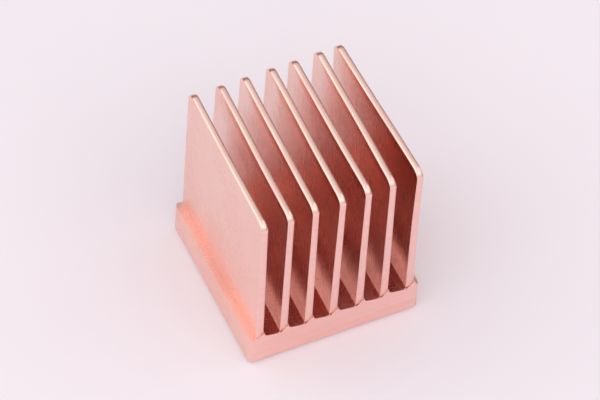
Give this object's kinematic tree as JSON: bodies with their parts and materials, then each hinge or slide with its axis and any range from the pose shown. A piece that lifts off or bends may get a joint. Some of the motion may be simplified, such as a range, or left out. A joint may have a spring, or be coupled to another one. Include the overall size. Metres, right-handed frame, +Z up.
{
  "type": "plate fin heat sink",
  "caption": "Small one-piece copper heat sink: a square base with a bank of tall, thin, upright plate fins skived up from it, to cool a small chip or transistor.",
  "frame": {"origin": "centre of the flat underside of the base", "axes": "+Z up along the fins' height, +X across the fins, +Y along the fins"},
  "size_m": [0.0066, 0.0066, 0.008],
  "materials": {
    "copper": "bright bare copper, lightly brushed along the fins"
  },
  "bodies": {
    "root": {"heat_sink": "copper"}
  },
  "joints": []
}
